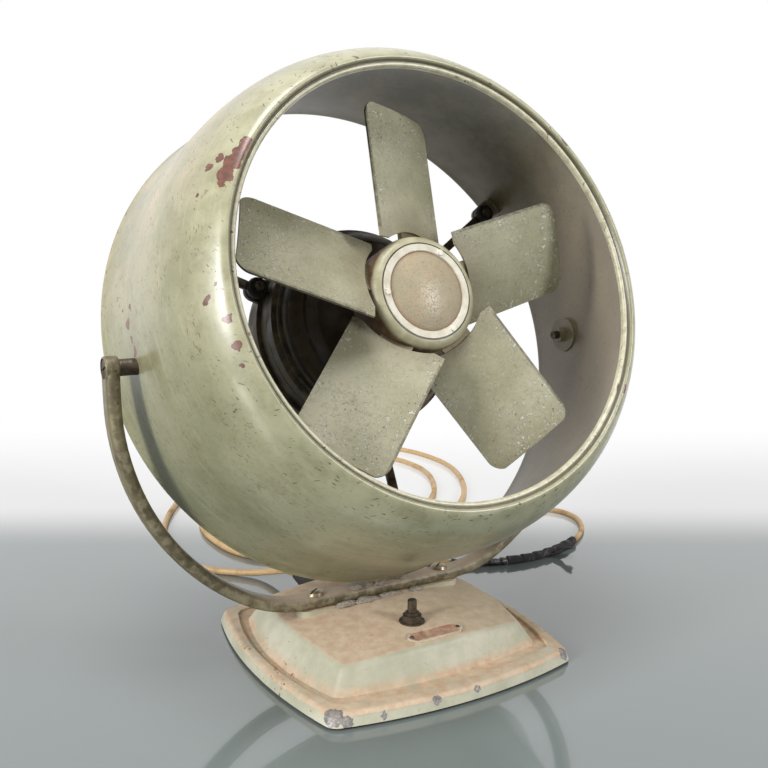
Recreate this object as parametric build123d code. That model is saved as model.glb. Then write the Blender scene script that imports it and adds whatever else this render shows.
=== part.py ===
from build123d import *
import math
import os

# Ducted desk fan: a spun steel drum tilts in a U-shaped bar on a cast base, and an
# induction motor on three rubber-mounted struts turns a five-bladed propeller in it.
# Millimetres, +Z up, the air leaves towards -Y.  The origin is the centre of the base's
# flat underside.  Everything is drawn as it stands at rest, with the drum tilted up.

# Driving dimensions
PROPELLER_R = 126.0       # ten-inch propeller
DRUM_MOUTH_R = 135.0      # crest of the rolled front lip
DRUM_BARREL_R = 171.4     # outside of the barrel in the plane of the pivots
DRUM_REAR_R = 177.4       # outside at the open rear edge
DRUM_SKIN = 1.6
MOUTH_A = 105.2           # lip crest ahead of the pivots, along the air stream
REAR_A = -43.0            # rear edge behind the pivots
AXIS_RISE = 19.1          # the drum's axis runs this far above the pivots
TILT = 20.56              # nose-up angle at rest
PIVOT_Y = 11.5
PIVOT_Z = 213.5
YOKE_X = 186.0            # centre of each yoke arm at the pivot
BAR_WIDE = 15.0
BAR_THICK = 9.0
SEAT_Z = 33.5             # top of the base's cast seat, under the yoke

# Base casting: corner half-sizes, how far each side bows out, and heights
BASE_X, BASE_Y, BASE_BOW = 93.0, 94.0, 12.5
PAD_Z = 1.8
LIP_Z = 10.0
VALLEY_Z = 8.0
CROWN_R = 475.0
WALL = 4.5
SWITCH_X, SWITCH_Y = -4.0, -41.0
PLATE_X, PLATE_Y = 1.5, -61.5
GLAND_Z = 17.0
SUPPLY_X, LEAD_X = -20.0, 62.0

# Cords
SUPPLY_D = 5.8            # twin flat flex, across its width
LEAD_D = 5.0

DRUM_SPLINE = (
    (REAR_A, DRUM_REAR_R), (-20.0, 173.5), (1.7, DRUM_BARREL_R), (40.0, 169.3),
    (70.0, 164.0), (90.0, 156.4), (100.5, 147.5), (MOUTH_A, DRUM_MOUTH_R),
)
LIP_R = 6.0               # outer radius of the rolled lip
STRUT_ANGLES = (34.0, 154.0, 274.0)
BLADES = 5
BLADE_FIRST = 14.4        # angle of the first blade from the right-hand side
BLADE_PITCH = 23.5
BLADE_CHORD = 64.0
BLADE_A = 65.5            # where the blade planes cross the propeller's axis
BLADE_T = 1.5
HUB_R = 37.8


os.makedirs("parts", exist_ok=True)


def save(shape, node):
    """Write one node, as separate solids where it holds a group of like pieces."""
    solids = shape.solids() if hasattr(shape, "solids") else [s for p in shape for s in p.solids()]
    part = solids[0] if len(solids) == 1 else Compound(children=list(solids))
    part.label = node
    export_step(part, f"parts/{node}.step")


def turned(*points):
    """Solid of revolution about +Z from an outline of (radius, height) points."""
    return revolve(Plane.XZ * make_face(Polyline(*points, close=True)), Axis.Z)


def rod(radius, low, high):
    """Round bar along +Z between two heights."""
    return Pos(0, 0, (low + high) / 2) * Cylinder(radius, high - low)


def tube(outer, inner, low, high):
    """Round tube along +Z between two heights."""
    return rod(outer, low, high) - rod(inner, low - 1, high + 1)


def around(shape, angles):
    """Copies of a shape turned about +Z."""
    return [Rot(0, 0, angle) * shape for angle in angles]


def joined(pieces):
    """All the pieces as one shape."""
    whole = pieces[0]
    for piece in pieces[1:]:
        whole += piece
    return whole


# Head pieces are drawn with +Z along the air stream and the drum's axis on Z, then placed
# in the tilted head.  X stays X, and the pivots lie AXIS_RISE below the axis, at height 0.
HEAD = Pos(0, PIVOT_Y, PIVOT_Z) * Rot(-TILT, 0, 0) * Pos(0, 0, AXIS_RISE) * Rot(90, 0, 0)


def save_head(shape, node):
    """Place a head piece, or a list of like ones, and write its node."""
    pieces = shape if isinstance(shape, list) else [shape]
    save([HEAD * piece for piece in pieces], node)


# Drum
def skin_points(depth):
    """The barrel's profile points, moved inwards along the normal by a depth."""
    points = []
    count = len(DRUM_SPLINE)
    for i, (a, r) in enumerate(DRUM_SPLINE):
        before = DRUM_SPLINE[max(i - 1, 0)]
        after = DRUM_SPLINE[min(i + 1, count - 1)]
        da, dr = after[0] - before[0], after[1] - before[1]
        size = math.hypot(da, dr)
        points.append((r - depth * da / size, a + depth * dr / size))
    points[-1] = (DRUM_MOUTH_R, MOUTH_A - depth)
    points[0] = (DRUM_REAR_R - depth, REAR_A)
    return points


def barrel_curve(depth):
    """Smooth profile line of the barrel, square to the air stream at the lip crest."""
    points = skin_points(depth)
    start = (points[1][0] - points[0][0], points[1][1] - points[0][1])
    return Spline(*points, tangents=[start, (-1, 0)], tangent_scalars=[1, 0.6])


def drum_skin():
    """Single spun skin with a lip rolled inwards at the mouth and a wired rear edge."""
    outer, inner = barrel_curve(0), barrel_curve(DRUM_SKIN)
    lip_a, lip_in = MOUTH_A - LIP_R, LIP_R - DRUM_SKIN
    k = math.sqrt(0.5)
    curl_out = ThreePointArc((DRUM_MOUTH_R, MOUTH_A), (DRUM_MOUTH_R - LIP_R * k, lip_a + LIP_R * k),
                             (DRUM_MOUTH_R - LIP_R, lip_a))
    curl_end = Line((DRUM_MOUTH_R - LIP_R, lip_a), (DRUM_MOUTH_R - lip_in, lip_a))
    curl_in = ThreePointArc((DRUM_MOUTH_R - lip_in, lip_a),
                            (DRUM_MOUTH_R - lip_in * k, lip_a + lip_in * k),
                            (DRUM_MOUTH_R, MOUTH_A - DRUM_SKIN))
    rear = Line((DRUM_REAR_R - DRUM_SKIN, REAR_A), (DRUM_REAR_R, REAR_A))
    face = make_face([outer, curl_out, curl_end, curl_in, inner, rear])
    bead = Pos(0, 0, REAR_A) * Torus(DRUM_REAR_R - DRUM_SKIN / 2, 1.9)
    return revolve(Plane.XZ * face, Axis.Z) + bead


def drum_inside(depth):
    """Everything that lies inside the barrel's surface, to seat fittings against it."""
    curve = barrel_curve(depth)
    start, end = curve @ 0, curve @ 1
    rest = Polyline((end.X, end.Y), (0, end.Y), (0, start.Y), (start.X, start.Y))
    return revolve(Plane.XZ * make_face([curve, rest]), Axis.Z)


PIVOT_BOLT_R = 3.0
SPACER_OUT = YOKE_X - BAR_THICK / 2 - 0.05
SADDLE_FACE = 165.5


def across(shape, side):
    """Put a piece drawn along +Z on the pivot line, pointing out at one side."""
    return Pos(0, -AXIS_RISE, 0) * Rot(0, 90 * side, 0) * shape


drum = drum_skin()
for side in (-1, 1):
    drum -= across(rod(PIVOT_BOLT_R, 150, 200), side)
outside = drum_inside(0)
inside = drum_inside(DRUM_SKIN)

spacers = [across(tube(5.2, PIVOT_BOLT_R, 160, SPACER_OUT), s) - outside for s in (-1, 1)]
saddles = [(across(tube(13, PIVOT_BOLT_R, SADDLE_FACE, 176), s)) & inside for s in (-1, 1)]
HEAD_SEAT = YOKE_X + 1.05
bolt = rod(PIVOT_BOLT_R, 156, HEAD_SEAT) + rod(5.4, HEAD_SEAT, HEAD_SEAT + 2.9)
bolt -= Pos(0, 0, HEAD_SEAT + 2.6) * Box(12, 1.3, 2.4)
bolts = [across(bolt, s) for s in (-1, 1)]
nut = extrude(Plane.XY.offset(SADDLE_FACE - 5) * RegularPolygon(5.0, 6, major_radius=False), 5)
nut -= rod(PIVOT_BOLT_R, 150, 180)
nuts = [across(nut, s) for s in (-1, 1)]


# Motor
def motor_pieces():
    """Two pressed shells, a slotted core with its winding, and two bronze bushes."""
    front = revolve(Plane.XZ * make_face([
        Polyline((69.2, -33), (72, -33), (72, -13), (69, -11), (69, -8.5), (66.5, -8.5)),
        Spline((66.5, -8.5), (62, 2), (48, 10.5), tangents=[(0, 1), (-1, 0.25)]),
        Polyline((48, 10.5), (20, 12.5), (14.5, 14), (13, 24), (9, 24), (9, 8.5), (45, 7.5)),
        Spline((45, 7.5), (59.6, 0), (64, -11), tangents=[(1, -0.25), (0, -1)]),
        Polyline((64, -11), (69.2, -16), (69.2, -33)),
    ]), Axis.Z)
    rear = turned((69.2, -33), (75, -33), (75, -39), (72.2, -39), (72.2, -60), (58, -72.5), (16, -76),
                  (14, -80), (9, -80), (9, -71), (56, -68.5), (69.2, -57))
    bends = [e for e in rear.edges().filter_by(GeomType.CIRCLE) if abs(e.radius - 72.2) < 0.01 or
             abs(e.radius - 58) < 0.01]
    rear = fillet([e for e in bends if e.center().Z < -59], 8)
    ear = Pos(80, 0, -34.5) * Cylinder(7, 3) + Pos(74, 0, -34.5) * Box(12, 14, 3)
    ear -= rod(72, -40, -30)
    ears = around(ear - Pos(80, 0, 0) * rod(2.1, -40, -30), STRUT_ANGLES)
    rear = joined([rear] + ears)
    for k in range(12):
        slot = Pos(51, 0, -73) * Box(14, 4, 9)
        rear -= Rot(0, 0, 30 * k + 15) * slot
    core = tube(69.1, 36.4, -45, -17)
    leg = Pos(49.5, 0, -31) * Box(17, 7.4, 40)
    for k in range(12):
        core -= Rot(0, 0, 30 * k) * Pos(49.5, 0, -31) * Box(17.4, 8, 40)
    rings = tube(60, 40.5, -57, -46) + tube(60, 40.5, -16, -6)
    winding = joined([rings] + around(leg - rod(90, -80, -57) - rod(90, -6, 20), range(0, 360, 30)))
    return front, rear, core, winding


SHAFT_R = 4.0
motor_front, motor_rear, stator, winding = motor_pieces()
rotor = tube(36.0, SHAFT_R, -45, -17) + tube(34, 26, -50, -12)
front_bush = tube(9, SHAFT_R + 0.05, 9.5, 25.5)
rear_bush = tube(9, SHAFT_R + 0.05, -80, -66)
shaft = rod(SHAFT_R, -78.5, 71)


# Struts between the motor and the drum
LINK_IN, LINK_OUT, LINK_A, LINK_T = 80.0, 160.0, -29.5, 3.0


def strut():
    """Flat link with an eye at each end, drawn along +X."""
    eyes = Pos(LINK_IN, 0, LINK_A) * Cylinder(6.5, LINK_T) + Pos(LINK_OUT, 0, LINK_A) * Cylinder(6.5, LINK_T)
    bar = Pos((LINK_IN + LINK_OUT) / 2, 0, LINK_A) * Box(LINK_OUT - LINK_IN, 6.2, LINK_T)
    link = eyes + bar
    for x in (LINK_IN, LINK_OUT):
        link -= Pos(x, 0, LINK_A) * Cylinder(2.1, 20)
    return link


def bracket():
    """Bent tab: an ear square to the air stream and a foot seated on the drum's wall."""
    ear = Pos(LINK_OUT, 0, -32.2) * Cylinder(7, 2.4) + Pos(LINK_OUT + 7.5, 0, -32.2) * Box(15, 14, 2.4)
    foot = Pos(174, 0, -28) * Box(8, 14, 10.8)
    foot -= drum_inside(DRUM_SKIN + 2.4)
    return ((ear + foot) & inside) - Pos(LINK_OUT, 0, 0) * rod(2.1, -40, -20)


def knob(x):
    """Domed rubber bush in front of a link's eye."""
    body = turned((2.1, LINK_A + 1.5), (7, LINK_A + 1.5), (7.6, LINK_A + 4.5), (6.6, LINK_A + 7), (2.1, LINK_A + 7))
    return Pos(x, 0, 0) * body


def stud(x, back):
    """Bolt through an eye, with a domed head in front of the rubber."""
    head = turned((0, LINK_A + 7), (3.9, LINK_A + 7), (3.2, LINK_A + 9.2), (0, LINK_A + 9.6))
    end = turned((0, back), (3.4, back), (3.4, back - 2.8), (0, back - 2.8))
    return Pos(x, 0, 0) * (rod(2.1, back, LINK_A + 7) + head + end)


rubber_back = Pos(LINK_IN, 0, 0) * tube(6.8, 2.1, -33, LINK_A - LINK_T / 2)


# Propeller
def blade():
    """One cambered sheet blade, drawn along +X: rounded tip corners and a hollow root."""
    camber_r = 250.0
    half = BLADE_CHORD / 2
    sag = camber_r - math.sqrt(camber_r ** 2 - half ** 2)
    section = make_face([
        ThreePointArc((-half, -sag), (0, 0), (half, -sag)), Line((half, -sag), (half, -sag - BLADE_T)),
        ThreePointArc((half, -sag - BLADE_T), (0, -BLADE_T), (-half, -sag - BLADE_T)),
        Line((-half, -sag - BLADE_T), (-half, -sag)),
    ])
    sheet = extrude(Plane.YZ.offset(34) * section, PROPELLER_R - 35)
    outline = Pos(77, 0) * Rectangle(98, BLADE_CHORD)
    outline = fillet(outline.vertices().sort_by(Axis.X)[-2:], 11)
    sheet &= extrude(Plane.XY.offset(-30) * outline, 60)
    pitched = Pos(0, 0, BLADE_A) * Rot(BLADE_PITCH, 0, 0) * sheet
    return pitched - rod(HUB_R + 3.2, 0, 120)


def arm(extra):
    """Spider arm behind a blade's root, or the slot that it needs through the hub's wall."""
    box = Pos(43, 0, -BLADE_T - 1.6) * Box(50, 22 + extra, 3.2 + extra)
    return Pos(0, 0, BLADE_A) * Rot(BLADE_PITCH, 0, 0) * box


blade_angles = [BLADE_FIRST + 360 / BLADES * k for k in range(BLADES)]
cup = revolve(Plane.XZ * make_face([
    Polyline((HUB_R - 2, 42), (HUB_R, 42), (HUB_R, 66.5)),
    ThreePointArc((HUB_R, 66.5), (HUB_R - 1.9, 71.1), (HUB_R - 6.2, 73)),
    Polyline((31.6, 73), (31.6, 71.2), (9, 71.2), (9, 69), (30, 69)),
    ThreePointArc((30, 69), (34, 67.6), (HUB_R - 2, 63.5)),
    Line((HUB_R - 2, 63.5), (HUB_R - 2, 42)),
]), Axis.Z)
for angle in blade_angles:
    cup -= Rot(0, 0, angle) * arm(0.5)
screw_angles = (59.0, 179.0, 299.0)
for angle in screw_angles:
    cup -= Rot(0, 0, angle) * Pos(29, 0, 0) * rod(1.2, 60, 80)
spider = joined([tube(20, SHAFT_R, 44, 69)] + around(arm(0), blade_angles))
spider -= rod(SHAFT_R, 0, 90)
set_hole = Pos(0, 0, 49) * Rot(0, 90, 0) * rod(2, 3, 25)
set_screw = Rot(0, 0, 50) * Pos(0, 0, 49) * Rot(0, 90, 0) * (rod(2, SHAFT_R, 19) - Pos(0, 0, 19) * Box(5, 0.8, 2))
spider -= Rot(0, 0, 50) * set_hole
for angle in blade_angles:
    spider -= Rot(0, 0, angle) * blade()
ring = turned((26.2, 71.2), (31.3, 71.2), (31.3, 73.2), (30.9, 73.6), (26.8, 73.6), (26.2, 73.0))
DOME_BALL_R = 70.1
dome = rod(26, 71.3, 80) & (Pos(0, 0, 78 - DOME_BALL_R) * Sphere(DOME_BALL_R))
for angle in screw_angles:
    ring -= Rot(0, 0, angle) * Pos(29, 0, 0) * rod(1.2, 60, 80)
ring_screw = rod(1.2, 68.8, 73.6) + turned((0, 73.6), (2.2, 73.6), (1.9, 74.5), (0, 74.8))
ring_screws = around(Pos(29, 0, 0) * ring_screw, screw_angles)


# Yoke
def yoke_bar():
    """One rounded bar bent to a U: straight tops, two radii a side and a flat foot."""
    drop = PIVOT_Z - SEAT_Z - BAR_THICK / 2
    big, small, turn = 165.0, 90.0, math.radians(60)
    flat = YOKE_X - big * (1 - math.cos(turn)) - small * math.cos(turn)
    start = -drop + big * math.sin(turn) + small * (1 - math.sin(turn))

    def side(s):
        first = (big * (1 - math.cos(turn / 2)), start - big * math.sin(turn / 2))
        knee = (big * (1 - math.cos(turn)), start - big * math.sin(turn))
        late = (turn + math.pi / 2) / 2
        second = (YOKE_X - flat - small * math.cos(late), -drop + small * (1 - math.sin(late)))
        arcs = [
            Line((s * YOKE_X, 0), (s * YOKE_X, start)),
            ThreePointArc((s * YOKE_X, start), (s * (YOKE_X - first[0]), first[1]),
                          (s * (YOKE_X - knee[0]), knee[1])),
            ThreePointArc((s * (YOKE_X - knee[0]), knee[1]), (s * (YOKE_X - second[0]), second[1]),
                          (s * flat, -drop)),
        ]
        return arcs

    path = Wire(side(-1) + [Line((-flat, -drop), (flat, -drop))] + side(1)[::-1])
    path = Plane.XZ * path
    section = Plane((-YOKE_X, 0, 0), x_dir=(1, 0, 0), z_dir=(0, 0, -1)) * RectangleRounded(BAR_THICK, BAR_WIDE, 3.9)
    bar = sweep(section, path=path)
    for s in (-1, 1):
        eye = Pos(s * YOKE_X, 0, 0) * Rot(0, 90, 0) * Cylinder(BAR_WIDE / 2, BAR_THICK)
        bar += fillet(eye.edges().filter_by(GeomType.CIRCLE), 1.5)
        bar -= Pos(s * YOKE_X, 0, 0) * Rot(0, 90, 0) * Cylinder(PIVOT_BOLT_R + 0.06, 30)
        recess = Pos(s * (YOKE_X + 1 + 5), 0, 0) * Rot(0, 90, 0) * Cylinder(6.3, 10)
        bar -= recess
    bar = Pos(0, PIVOT_Y, PIVOT_Z) * bar
    for x in SCREW_XS:
        bar -= Pos(x, PIVOT_Y, SEAT_Z) * Cylinder(2.6, 40)
    return bar


SCREW_XS = (-52.0, 52.0)
ROOF_SEAT = 26.0          # flat under the roof for the yoke's nuts
BAR_TOP = SEAT_Z + BAR_THICK
yoke = yoke_bar()
yoke_screw = turned((0, BAR_TOP), (6.4, BAR_TOP), (5.4, BAR_TOP + 2), (3, BAR_TOP + 2.9), (0, BAR_TOP + 3.1))
yoke_screw += rod(2.5, 20, BAR_TOP)
yoke_screw -= Pos(0, 0, BAR_TOP + 2.8) * Rot(0, 0, 35) * Box(16, 1.4, 2.6)
yoke_screws = [Pos(x, PIVOT_Y, 0) * yoke_screw for x in SCREW_XS]


# Base
def bowed(half_x, half_y, bow_x, bow_y, corner, z):
    """Rectangle whose four sides bow outwards, with rounded corners, at a height."""
    a, b = half_x, half_y
    face = make_face([
        ThreePointArc((-a, -b), (0, -b - bow_y), (a, -b)), ThreePointArc((a, -b), (a + bow_x, 0), (a, b)),
        ThreePointArc((a, b), (0, b + bow_y), (-a, b)), ThreePointArc((-a, b), (-a - bow_x, 0), (-a, -b)),
    ])
    return Pos(0, 0, z) * fillet(face.vertices(), corner)


def under_crown(top):
    """Everything under the base's crowned top, at a given height in the middle."""
    return Pos(0, 0, top - CROWN_R) * Sphere(CROWN_R)


def crown_z(x, y):
    return SEAT_Z + math.sqrt(CROWN_R ** 2 - x ** 2 - y ** 2) - CROWN_R


def base_casting():
    """Hollow casting: rounded rim, sunk valley, and a plateau with sloping sides."""
    rim = loft([bowed(BASE_X, BASE_Y, BASE_BOW, BASE_BOW, 10, PAD_Z), bowed(90.6, 91.6, 12.3, 12.3, 9, LIP_Z)])
    rim = fillet(rim.edges().group_by(Axis.Z)[-1], 3.5)
    rim -= extrude(bowed(83.0, 82.5, 14.5, 10.5, 9, VALLEY_Z), 10)
    plateau = loft([bowed(80, 73, 13, 9, 9, VALLEY_Z - 2), bowed(60.5, 59, 8.5, 8, 8, 38)])
    plateau &= under_crown(SEAT_Z)
    crest = plateau.faces().sort_by(Axis.Z)[-1]
    plateau = fillet(crest.edges(), 6)
    seat = Pos(0, PIVOT_Y, SEAT_Z - 7.5) * extrude(SlotOverall(132, BAR_WIDE + 2), 7.5)
    solid = rim + plateau + seat
    hollow = loft([bowed(75, 68, 12.5, 8.5, 7, PAD_Z - 1), bowed(56, 54, 8, 7.5, 6, 36)])
    hollow &= under_crown(SEAT_Z - WALL)
    casting = solid - hollow
    for x in (-62, 62):
        for y in (-55, 55):
            casting += (Pos(x, y, 0) * rod(5.5, PAD_Z, 30)) & hollow
            casting -= Pos(x, y, 0) * rod(1.7, 0, 14)
    casting -= Pos(SWITCH_X, SWITCH_Y, 0) * rod(4.9, 15, 50)
    casting -= Pos(SWITCH_X, SWITCH_Y, 0) * rod(9.2, SWITCH_SEAT, 50)
    for x in SCREW_XS:
        casting -= Pos(x, PIVOT_Y, 0) * rod(2.5, 20, 50)
        casting -= Pos(x, PIVOT_Y, 0) * rod(6.5, 18, ROOF_SEAT)
    for x in (SUPPLY_X, LEAD_X):
        casting -= Pos(x, 0, GLAND_Z) * Rot(-90, 0, 0) * rod(5, 40, 95)
    for x in PIN_XS:
        casting -= plate_frame() * Pos(x, 0, 0) * Cylinder(1.0, 12)
    return casting, solid


SWITCH_SEAT = crown_z(SWITCH_X, SWITCH_Y) - 0.6
PLATE_LONG, PLATE_WIDE, PLATE_T = 42.0, 12.0, 0.8


def plate_frame():
    """Frame of the nameplate, lying on the crown at the front of the plateau."""
    lean = math.degrees(math.asin(PLATE_Y / CROWN_R))
    return Pos(PLATE_X, PLATE_Y, crown_z(PLATE_X, PLATE_Y) - 0.15) * Rot(-lean, 0, 0)


PIN_XS = (-18.0, 18.0)
casting, casting_solid = base_casting()
PLATE_CUT = 4.2           # how far each end's corners are cut back
half_long, half_wide = PLATE_LONG / 2, PLATE_WIDE / 2
plate_outline = Polyline(
    (-half_long + PLATE_CUT, -half_wide), (half_long - PLATE_CUT, -half_wide), (half_long, -1.5),
    (half_long, 1.5), (half_long - PLATE_CUT, half_wide), (-half_long + PLATE_CUT, half_wide),
    (-half_long, 1.5), (-half_long, -1.5), close=True)
plate = extrude(make_face(plate_outline), PLATE_T)
plate -= extrude(Pos(0, 0, PLATE_T - 0.25) * make_face(plate_outline.offset_2d(-1.1)), 1)
for x in PIN_XS:
    plate -= Pos(x, 0, 0) * Cylinder(1.0, 12)
plate = plate_frame() * Pos(0, 0, 0.2) * plate
PIN_SEAT = PLATE_T + 0.2
pin = rod(1.0, -4.5, PIN_SEAT)
pin += turned((0, PIN_SEAT), (1.5, PIN_SEAT), (1.0, PIN_SEAT + 0.7), (0, PIN_SEAT + 0.8))
pins = [plate_frame() * Pos(x, 0, 0) * pin for x in PIN_XS]

cover = extrude(bowed(BASE_X - 1.5, BASE_Y - 1.5, BASE_BOW - 0.2, BASE_BOW - 0.2, 9, 0), PAD_Z)
cover_screw = turned((0, 0.2), (3.4, 0.2), (3.4, 0.5), (1.7, 1.7), (1.7, 12), (0, 12))
cover_screw -= Pos(0, 0, 0.2) * Box(8, 1, 0.8)
cover_screws = []
for x in (-62, 62):
    for y in (-55, 55):
        cover -= Pos(x, y, 0) * turned((0, -1), (3.4, -1), (3.4, 0.5), (1.7, 1.7), (1.7, 5), (0, 5))
        cover_screws.append(Pos(x, y, 0) * cover_screw)

roof_nut = extrude(Plane.XY * RegularPolygon(4.5, 6, major_radius=False), 4.5) - rod(2.5, -1, 10)
yoke_nuts = [Pos(x, PIVOT_Y, ROOF_SEAT - 4.5) * roof_nut for x in SCREW_XS]

# Speed switch: a quarter-inch shaft in a 3/8-inch bush, held by a half-inch hexagon nut
NUT_Z = SWITCH_SEAT + 1.0
SHAFT_TOP = NUT_Z + 4.6 + 10.5
switch_body = Pos(0, 0, 16.5) * Box(25, 25, 15) - Pos(0, 0, 16.5) * Cylinder(10, 11) - rod(3.25, 20, 30)
switch_bush = tube(4.76, 3.25, 24, NUT_Z + 6.2)
switch_washer = tube(8.7, 4.8, SWITCH_SEAT, NUT_Z)
switch_nut = extrude(Plane.XY.offset(NUT_Z) * RegularPolygon(6.35, 6, major_radius=False), 4.6)
switch_nut = switch_nut & turned((0, NUT_Z), (7.2, NUT_Z), (7.2, NUT_Z + 3.9), (6.0, NUT_Z + 4.6), (0, NUT_Z + 4.6))
switch_nut -= rod(4.78, 0, 60)
switch_shaft = rod(3.175, 18, SHAFT_TOP - 0.6) + rod(9.2, 15, 18)
switch_shaft += turned((0, SHAFT_TOP - 0.6), (3.175, SHAFT_TOP - 0.6), (2.6, SHAFT_TOP), (0, SHAFT_TOP))
switch_shaft -= Pos(0, 0, SHAFT_TOP) * Box(8, 0.9, 2.4)
AT_SWITCH = Pos(SWITCH_X, SWITCH_Y, 0)


# Cord glands: a rubber bush through the plateau's rear wall, tapering along the cord
GLAND_END = 112.0


def gland(radius):
    """Bush drawn along +Y, seated on the sloping wall that it passes through."""
    body = turned((radius, 74), (7, 74), (7, 88), (radius + 1.1, GLAND_END), (radius, GLAND_END))
    body = Rot(-90, 0, 0) * body
    return body


def at_gland(x, shape):
    return Pos(x, 0, GLAND_Z) * shape


glands = []
for x, d in ((SUPPLY_X, SUPPLY_D), (LEAD_X, LEAD_D)):
    neck = Rot(-90, 0, 0) * tube(5, d / 2, 62, 80)
    outer = at_gland(x, gland(d / 2)) - casting_solid
    glands.append(outer + at_gland(x, neck))


# Cords.  Every free cord starts at the end of its gland.
def cord_tube(points, diameter, radii_share=0.45):
    """Round cord along straight runs joined by tangent arcs as large as the runs allow."""
    vectors = [Vector(*p) for p in points]
    radii = []
    for before, here, after in zip(vectors, vectors[1:], vectors[2:]):
        into, out = here - before, after - here
        half_turn = math.radians(into.get_angle(out)) / 2
        radii.append(radii_share * min(into.length, out.length) / math.tan(half_turn))
    path = FilletPolyline(*points, radius=radii)
    start = Plane(origin=path @ 0, z_dir=path % 0)
    solid = sweep(start * Circle(diameter / 2), path=path)
    print("cord", round(path.length), "mm, least radius", round(min(radii), 1),
          "volume ratio", round(solid.volume / (math.pi * diameter ** 2 / 4 * path.length), 4))
    return solid


# Loose loops on the table: a flat inward spiral of quarter turns, alternately flat and sharp,
# so that each loop is an uneven oval lying inside the one before it
QUARTERS = 9
FLAT_R, FLAT_STEP = 300.0, 14.0
SHARP_R, SHARP_STEP = 100.0, 6.0
INNER_R, INNER_TURN = 30.0, math.radians(135)
LOOP_START = Vector(-75.0, 232.0, SUPPLY_D / 2)
STRAIGHT_END = 8.0


def loop_path():
    """Quarter arcs, each turning right from where the last one ended."""
    here, heading = LOOP_START, Vector(0, 1, 0)
    edges = [Line(here, here + heading * STRAIGHT_END)]
    here = here + heading * STRAIGHT_END
    for k in range(QUARTERS):
        radius = (SHARP_R - SHARP_STEP * k) if k % 2 else (FLAT_R - FLAT_STEP * k)
        right = Vector(heading.Y, -heading.X, 0)
        middle = here + heading * radius * math.sin(math.pi / 4) + right * radius * (1 - math.cos(math.pi / 4))
        after = here + (heading + right) * radius
        edges.append(ThreePointArc(here, middle, after))
        here, heading = after, right
    # One more bend turns the end in, along the middle of the innermost loop
    right = Vector(heading.Y, -heading.X, 0)

    def bent(turn):
        return here + heading * INNER_R * math.sin(turn) + right * INNER_R * (1 - math.cos(turn))

    edges.append(ThreePointArc(here, bent(INNER_TURN / 2), bent(INNER_TURN)))
    here = bent(INNER_TURN)
    heading = heading * math.cos(INNER_TURN) + right * math.sin(INNER_TURN)
    edges.append(Line(here, here + heading * STRAIGHT_END))
    return Wire(edges), here + heading * STRAIGHT_END, heading


def least_gap(wire, diameter, step=4.0):
    """Least clear gap between parts of a path more than ten diameters apart along it."""
    count = int(wire.length / step)
    spots = [wire @ (i / count) for i in range(count + 1)]
    skip = int(10 * diameter / step)
    least = min((spots[i] - spots[j]).length for i in range(count) for j in range(i + skip, count + 1))
    return least - diameter


path, loop_end, loop_heading = loop_path()
loops = sweep(Plane(origin=path @ 0, z_dir=path % 0) * Circle(SUPPLY_D / 2), path=path)
print("loops", round(path.length), "mm, least gap", round(least_gap(path, SUPPLY_D), 1))

SUPPLY_ROUTE = [
    (SUPPLY_X, GLAND_END, GLAND_Z), (SUPPLY_X, 127, 16.2), (-23, 145, 10.0), (-33, 163, 4.4),
    (-50, 178, SUPPLY_D / 2), (-66, 194, SUPPLY_D / 2), (-75, 213, SUPPLY_D / 2), (-75, 232, SUPPLY_D / 2),
]
PLUG_Z = 7.0
PLUG_LIFT = Vector(0, 0, PLUG_Z - SUPPLY_D / 2)
tail_route = [
    tuple(loop_end), tuple(loop_end + loop_heading * 11), tuple(loop_end + loop_heading * 30 + PLUG_LIFT),
    tuple(loop_end + loop_heading * 41 + PLUG_LIFT),
]
LEAD_ROUTE = [
    (LEAD_X, GLAND_END, GLAND_Z), (LEAD_X, 125, 15.5), (70, 138, 9), (88, 139, 3.6), (107, 123, LEAD_D / 2),
    (126, 103, LEAD_D / 2), (155, 85, LEAD_D / 2), (195, 76, LEAD_D / 2), (240, 84, LEAD_D / 2),
    (283, 108, LEAD_D / 2), (311, 142, LEAD_D / 2), (314, 177, LEAD_D / 2), (289, 200, LEAD_D / 2),
    (248, 201, LEAD_D / 2), (204, 187, LEAD_D / 2), (162, 170, LEAD_D / 2), (125, 157, 3), (97, 149, 7),
    (74, 143, 19), (58, 138, 40), (47, 133, 66), (38, 126, 93), (32, 117, 119), (27, 107, 139),
]
# The lead's gland on the motor: a rubber bush low on the rear shell, pointing back
MOTOR_GLAND = (24.0, -45.0)
GLAND_BACK = -90.0
motor_gland = turned((LEAD_D / 2, -66), (5, -66), (5, -75), (7, -75), (7, -79), (LEAD_D / 2 + 1.2, GLAND_BACK),
                     (LEAD_D / 2, GLAND_BACK))
motor_gland = Pos(*MOTOR_GLAND, 0) * motor_gland
motor_rear -= Pos(*MOTOR_GLAND, 0) * rod(5, -85, -60)
motor_gland -= joined([motor_rear])


def head_point(x, v, a):
    """World position of a point given in the head's drawing frame."""
    return tuple((HEAD * Pos(x, v, a)).position)


LEAD_ROUTE += [head_point(*MOTOR_GLAND, GLAND_BACK - 14), head_point(*MOTOR_GLAND, GLAND_BACK)]
supply_lead = cord_tube(SUPPLY_ROUTE, SUPPLY_D)
supply_tail = cord_tube(tail_route, SUPPLY_D)
motor_lead = cord_tube(LEAD_ROUTE, LEAD_D)

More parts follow.
